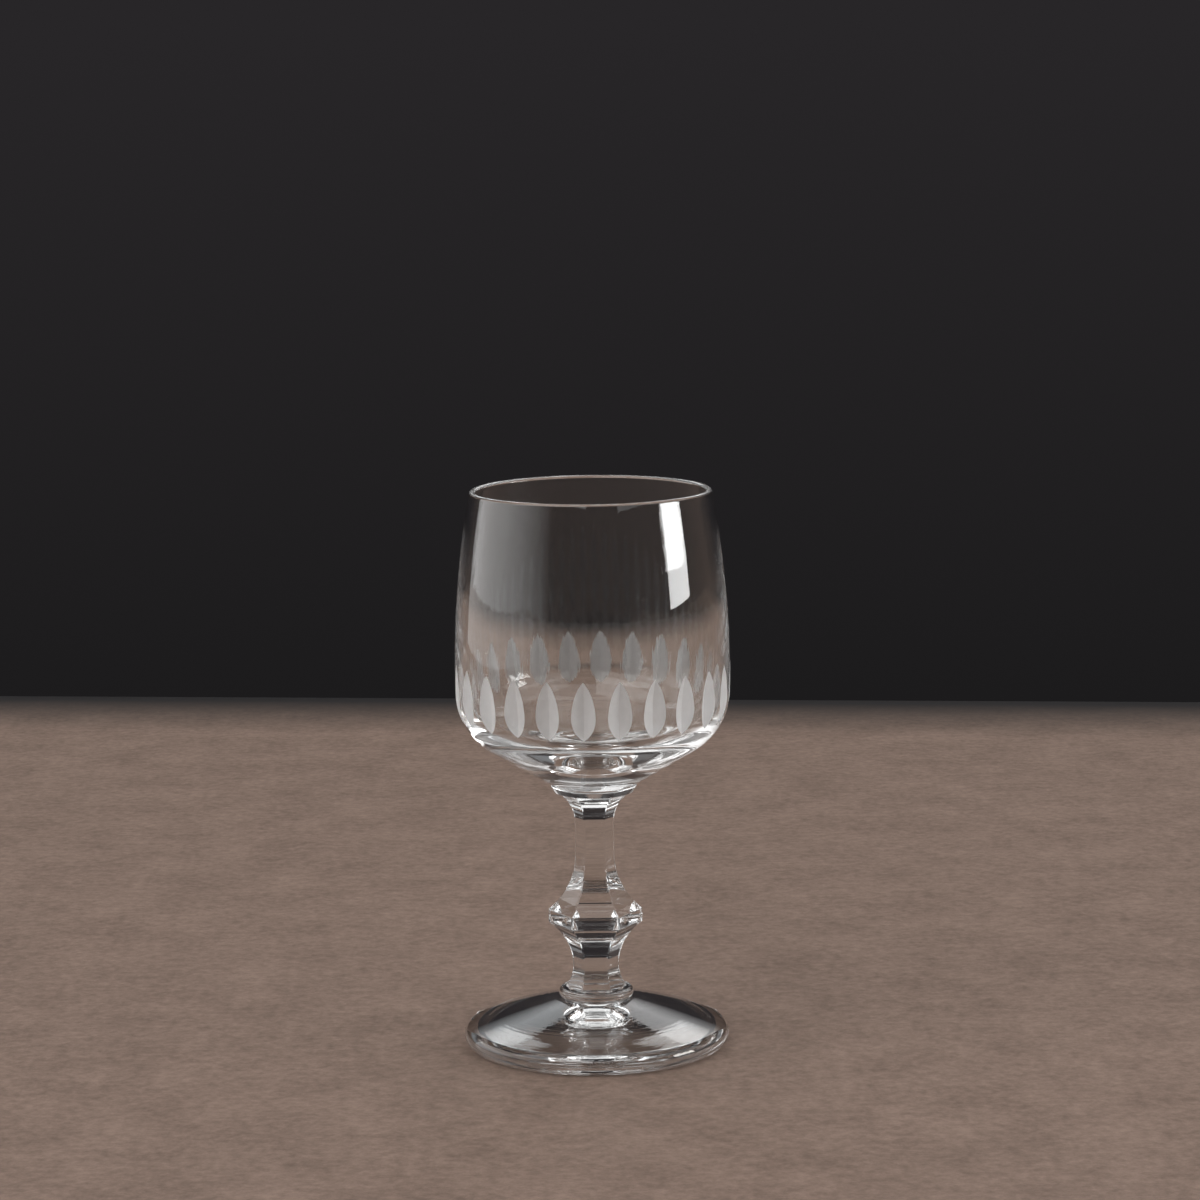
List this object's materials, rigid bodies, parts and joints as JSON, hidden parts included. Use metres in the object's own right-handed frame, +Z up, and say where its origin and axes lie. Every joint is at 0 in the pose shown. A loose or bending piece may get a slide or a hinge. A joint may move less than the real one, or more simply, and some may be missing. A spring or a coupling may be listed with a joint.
{
  "type": "cordial glass",
  "caption": "Stemmed cordial glass in clear cut crystal: barrel bowl with a row of ground leaf cuts, six-sided knopped stem and domed round foot.",
  "frame": {"origin": "on the table under the middle of the foot", "axes": "+Z up along the glass's axis; -Y faces a flat side of the six-sided stem, and +X a corner of it"},
  "size_m": [0.0526, 0.0526, 0.108],
  "materials": {
    "clear_crystal": "clear polished crystal, with the leaf cuts left ground and frosted"
  },
  "bodies": {
    "root": {"bowl": "clear_crystal", "bowl_collar": "clear_crystal", "stem": "clear_crystal", "foot_button": "clear_crystal", "foot": "clear_crystal"}
  },
  "joints": []
}
